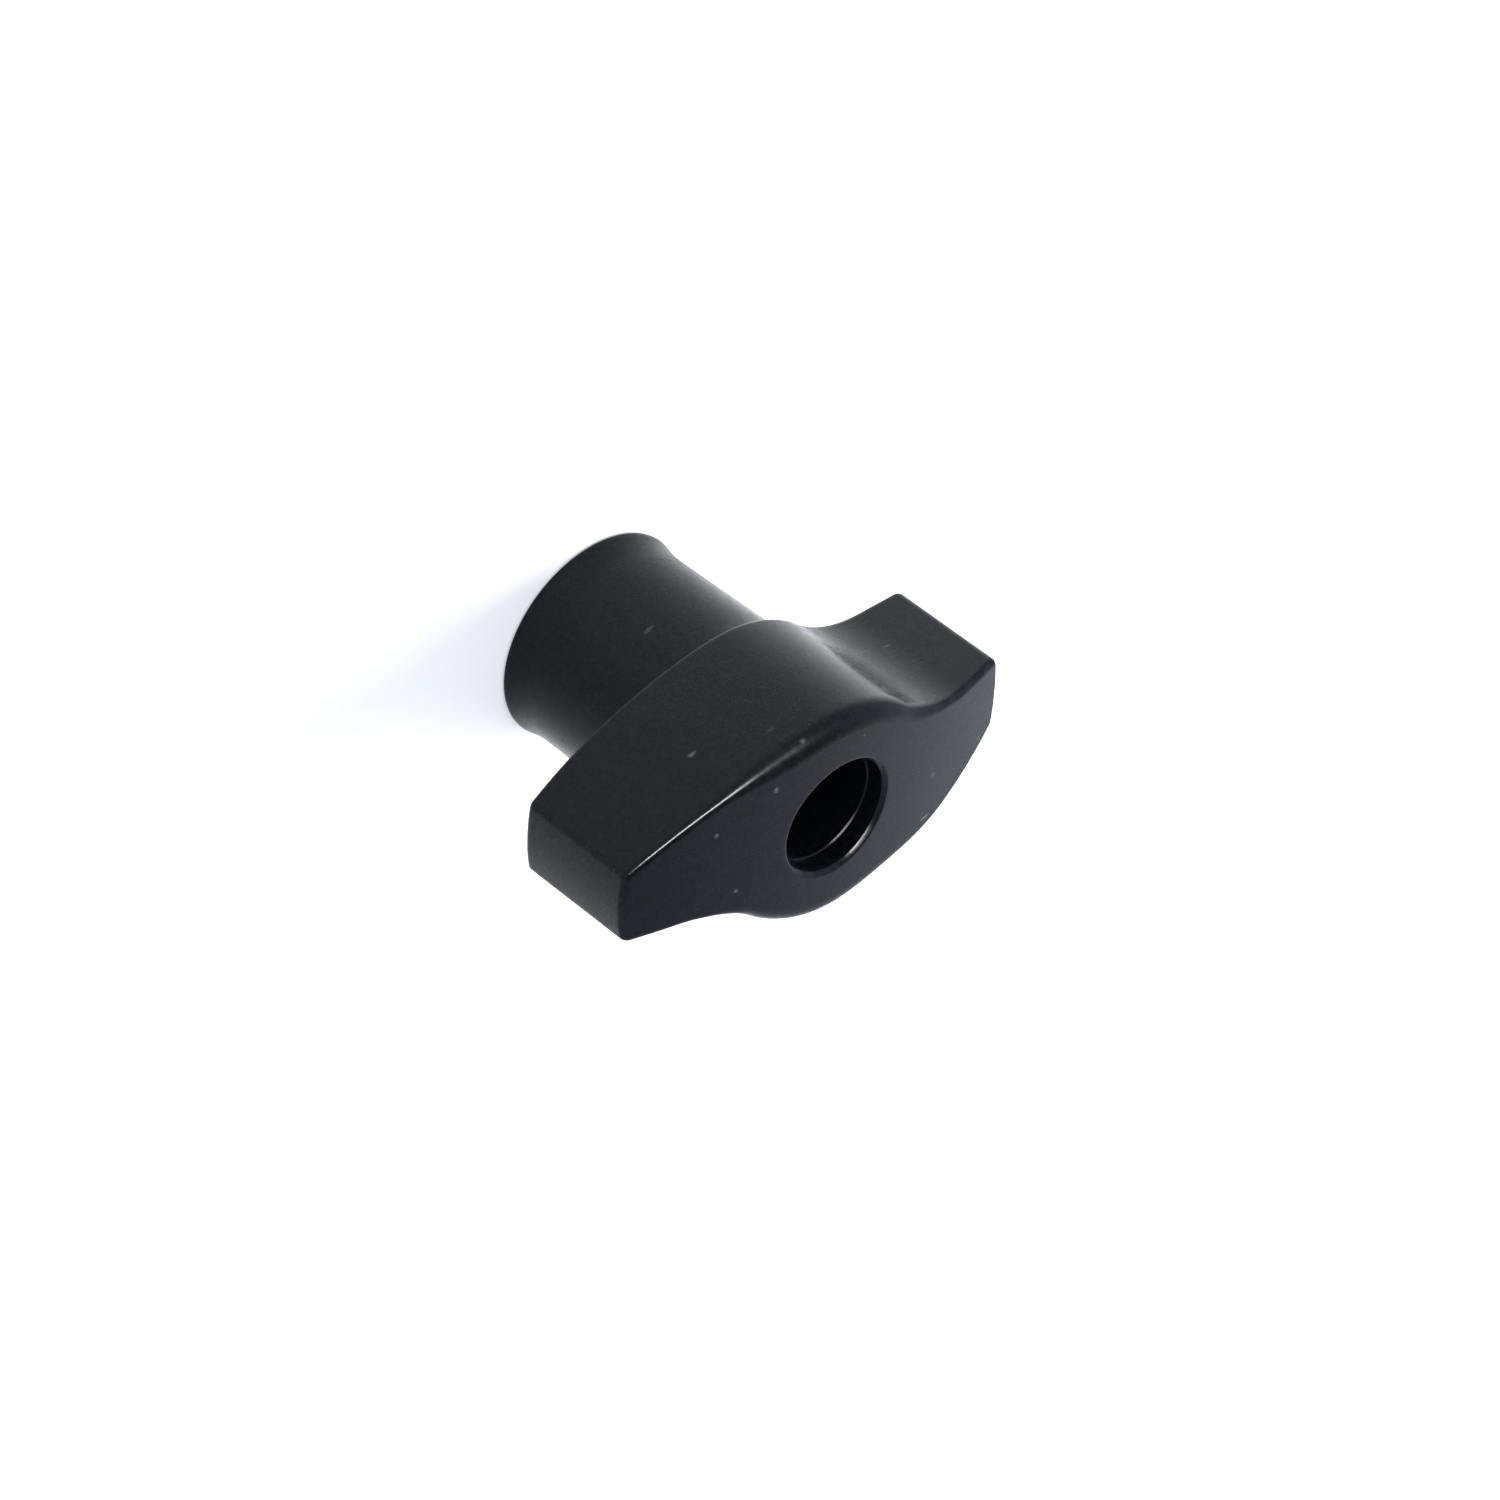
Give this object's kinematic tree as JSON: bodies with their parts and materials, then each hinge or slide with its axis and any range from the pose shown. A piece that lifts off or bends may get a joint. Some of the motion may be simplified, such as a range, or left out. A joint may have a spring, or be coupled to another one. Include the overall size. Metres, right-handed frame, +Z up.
{
  "type": "wing nut",
  "caption": "Moulded plastic wing nut with an S-shaped crowned head, a flared neck and a moulded-in threaded metal bush, turned by hand on a stud.",
  "frame": {"origin": "centre of the bearing face at the free end of the neck", "axes": "+Z up the bore from the bearing face to the crowned face of the head, X along the wings, Y across them"},
  "size_m": [0.0396, 0.0194, 0.0286],
  "materials": {
    "moulded_plastic": "satin moulded, near black",
    "insert_brass": "turned and knurled"
  },
  "bodies": {
    "root": {"wing_body": "moulded_plastic", "threaded_insert": "insert_brass"}
  },
  "joints": []
}
